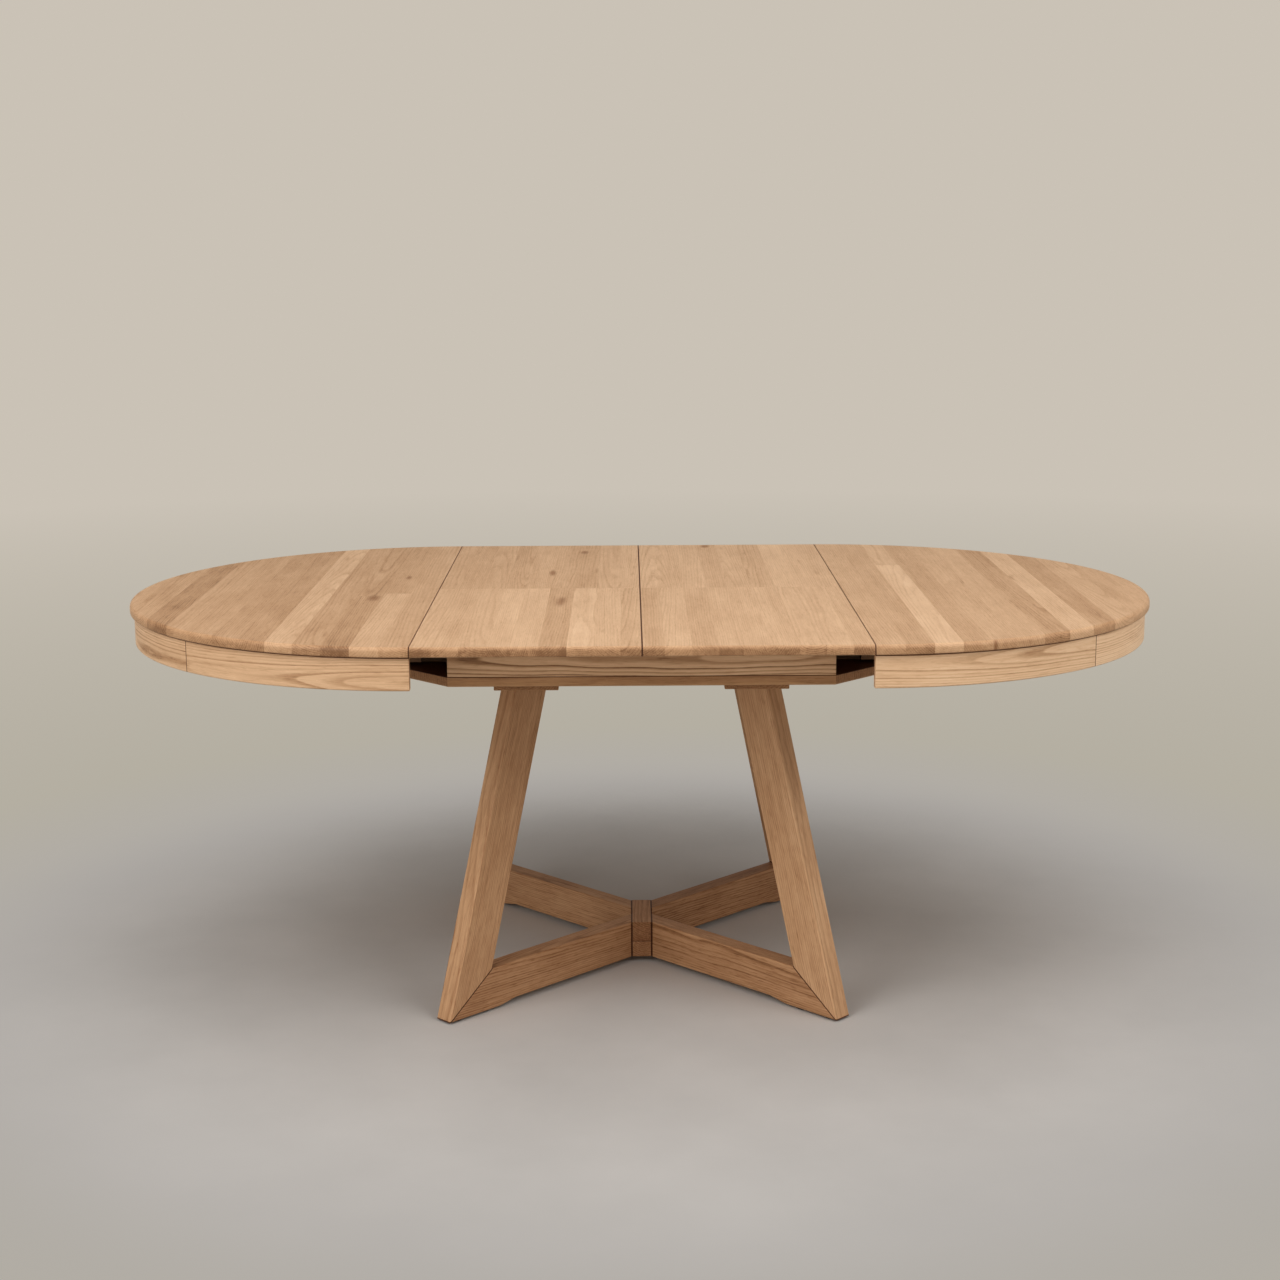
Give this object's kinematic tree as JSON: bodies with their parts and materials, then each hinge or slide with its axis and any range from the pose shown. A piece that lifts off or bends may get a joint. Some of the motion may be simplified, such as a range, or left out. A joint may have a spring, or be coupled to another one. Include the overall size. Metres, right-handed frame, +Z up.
{
  "type": "extendable dining table",
  "caption": "Round solid oak table whose halves slide apart on telescopic slides for lift-out leaves, on four leaning mitred legs.",
  "frame": {"origin": "on the floor under the table's centre, midway between the two halves", "axes": "+X along the extension, towards the right half; +Y to the rear; +Z up"},
  "size_m": [1.9998, 1.2, 0.755],
  "materials": {
    "oak_top": "oiled oak, staves glued side by side",
    "oak_apron": "oiled oak, sawn curved segments",
    "oak_base": "oiled oak, edges eased",
    "oak_frame": "oiled oak, slightly darker",
    "beech": "planed beech, unfinished",
    "zinc_steel": "zinc plated steel",
    "screw_steel": "yellow zinc plated steel",
    "felt": "dense brown wool felt"
  },
  "bodies": {
    "root": {"base_panel": "oak_frame", "batten_left": "oak_frame", "batten_right": "oak_frame", "beam_front": "beech", "beam_rear": "beech", "felt_pads": "felt", "glide_strips": "felt", "hub_block_lower": "oak_base", "hub_block_upper": "oak_base", "hub_dowels": "beech", "leg_bolts": "zinc_steel", "leg_front_left": "oak_base", "leg_front_right": "oak_base", "leg_inserts": "zinc_steel", "leg_rear_left": "oak_base", "leg_rear_right": "oak_base", "mitre_tenons": "beech", "panel_screws": "screw_steel", "rail_front": "oak_frame", "rail_rear": "oak_frame", "slide_outer_front": "zinc_steel", "slide_outer_rear": "zinc_steel", "slide_outer_screws": "zinc_steel", "stretcher_front_left": "oak_base", "stretcher_front_right": "oak_base", "stretcher_rear_left": "oak_base", "stretcher_rear_right": "oak_base"},
    "left_half": {"left_apron_blocks": "beech", "left_apron_front": "oak_apron", "left_apron_front_corner": "oak_apron", "left_apron_rear": "oak_apron", "left_apron_rear_corner": "oak_apron", "left_bearer_front": "beech", "left_bearer_rear": "beech", "left_bearer_screws": "screw_steel", "left_slide_inner_front": "zinc_steel", "left_slide_inner_rear": "zinc_steel", "left_slide_screws": "zinc_steel", "left_top": "oak_top"},
    "left_slide_middles": {"left_slide_middle_front": "zinc_steel", "left_slide_middle_rear": "zinc_steel"},
    "left_leaf": {"left_leaf": "oak_top", "left_leaf_cleats": "beech"},
    "right_half": {"right_apron_blocks": "beech", "right_apron_front": "oak_apron", "right_apron_front_corner": "oak_apron", "right_apron_rear": "oak_apron", "right_apron_rear_corner": "oak_apron", "right_bearer_front": "beech", "right_bearer_rear": "beech", "right_bearer_screws": "screw_steel", "right_slide_inner_front": "zinc_steel", "right_slide_inner_rear": "zinc_steel", "right_slide_screws": "zinc_steel", "right_top": "oak_top"},
    "right_slide_middles": {"right_slide_middle_front": "zinc_steel", "right_slide_middle_rear": "zinc_steel"},
    "right_leaf": {"right_leaf": "oak_top", "right_leaf_cleats": "beech"}
  },
  "joints": [
    {"name": "left_half_slide", "type": "slide", "parent": "root", "child": "left_half", "axis": [1, 0, 0], "range_m": [0, 0.3996]},
    {"name": "left_middle_slide", "type": "slide", "parent": "root", "child": "left_slide_middles", "axis": [1, 0, 0], "range_m": [0, 0.2]},
    {"name": "left_leaf_lift", "type": "slide", "parent": "root", "child": "left_leaf", "axis": [0, 0, 1], "range_m": [0, 0.6]},
    {"name": "right_half_slide", "type": "slide", "parent": "root", "child": "right_half", "axis": [-1, 0, 0], "range_m": [0, 0.3996]},
    {"name": "right_middle_slide", "type": "slide", "parent": "root", "child": "right_slide_middles", "axis": [-1, 0, 0], "range_m": [0, 0.2]},
    {"name": "right_leaf_lift", "type": "slide", "parent": "root", "child": "right_leaf", "axis": [0, 0, 1], "range_m": [0, 0.6]}
  ],
  "couplings": [
    {"joint": "left_middle_slide", "follows": "left_half_slide", "ratio": 0.5},
    {"joint": "left_leaf_lift", "follows": "left_half_slide", "ratio": 1.5},
    {"joint": "right_middle_slide", "follows": "right_half_slide", "ratio": 0.5},
    {"joint": "right_leaf_lift", "follows": "right_half_slide", "ratio": 1.5}
  ]
}
